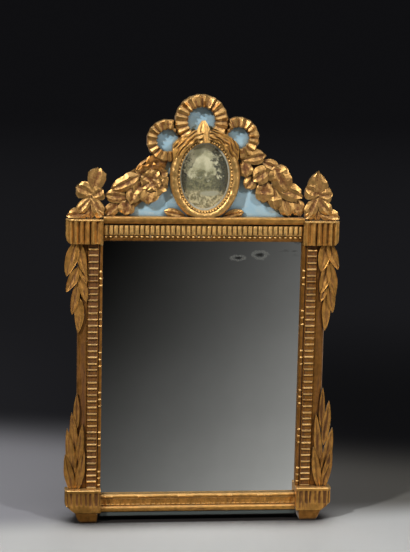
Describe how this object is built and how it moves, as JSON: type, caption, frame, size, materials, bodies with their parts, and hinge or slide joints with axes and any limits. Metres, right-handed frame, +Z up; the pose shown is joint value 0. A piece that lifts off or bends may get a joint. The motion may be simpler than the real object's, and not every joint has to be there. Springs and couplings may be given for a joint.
{
  "type": "pediment mirror",
  "caption": "Upright wall mirror with carved gilt bars, fluted corner blocks and a painted pediment that carries a ribbon bow, leaf garlands and an oval glazed medallion.",
  "frame": {"origin": "on the floor plane, midway between the feet in width and in depth", "axes": "+Z up, +X to the right of a viewer in front, +Y towards the wall; the plate faces -Y"},
  "size_m": [0.475, 0.046, 0.751],
  "materials": {
    "gilt": "leaf gilding over red bole, worn on the ridges",
    "blue_paint": "matt light-blue paint, aged",
    "raw_pine": "raw, darkened with age",
    "mirror_glass": "old silvered plate with foxing",
    "clear_glass": "thin clear glass",
    "print_paper": "tinted print on paper",
    "card": "pressed card",
    "iron": "forged, dull brown-black"
  },
  "bodies": {
    "mirror": {"back_bottom_rail": "blue_paint", "back_stile_left": "raw_pine", "back_stile_right": "raw_pine", "back_top_rail": "raw_pine", "backboard_lower": "raw_pine", "backboard_upper": "raw_pine", "base_block_left": "gilt", "base_block_right": "gilt", "bottom_base_moulding": "gilt", "bottom_frieze": "gilt", "bow_loop_centre": "gilt", "bow_loop_left": "gilt", "bow_loop_right": "gilt", "capital_left": "gilt", "capital_right": "gilt", "corner_pegs": "raw_pine", "cornice": "gilt", "finial_left": "gilt", "finial_right": "gilt", "foot_dowels": "raw_pine", "foot_left": "gilt", "foot_right": "gilt", "garland_left": "gilt", "garland_right": "gilt", "glue_blocks": "raw_pine", "hanger_nails": "iron", "hanger_plate": "iron", "ladder_moulding_left": "gilt", "ladder_moulding_right": "gilt", "laurel_drop_left": "gilt", "laurel_drop_right": "gilt", "laurel_sprig_left": "gilt", "laurel_sprig_right": "gilt", "medallion_backing": "card", "medallion_crest": "gilt", "medallion_foot_leaf_left": "gilt", "medallion_foot_leaf_right": "gilt", "medallion_frame": "gilt", "medallion_glass": "clear_glass", "medallion_print": "print_paper", "mirror_plate": "mirror_glass", "pediment_dowels": "raw_pine", "pediment_panel": "blue_paint", "side_strip_left": "gilt", "side_strip_right": "gilt", "top_frieze": "gilt", "top_pearl_row": "gilt"},
    "ring": {"hanging_ring": "iron"}
  },
  "joints": [
    {"name": "ring_hinge", "type": "hinge", "parent": "mirror", "child": "ring", "pos_m": [0, 0.0185, 0.691], "axis": [1, 0, 0], "range_deg": [0, 180]}
  ]
}
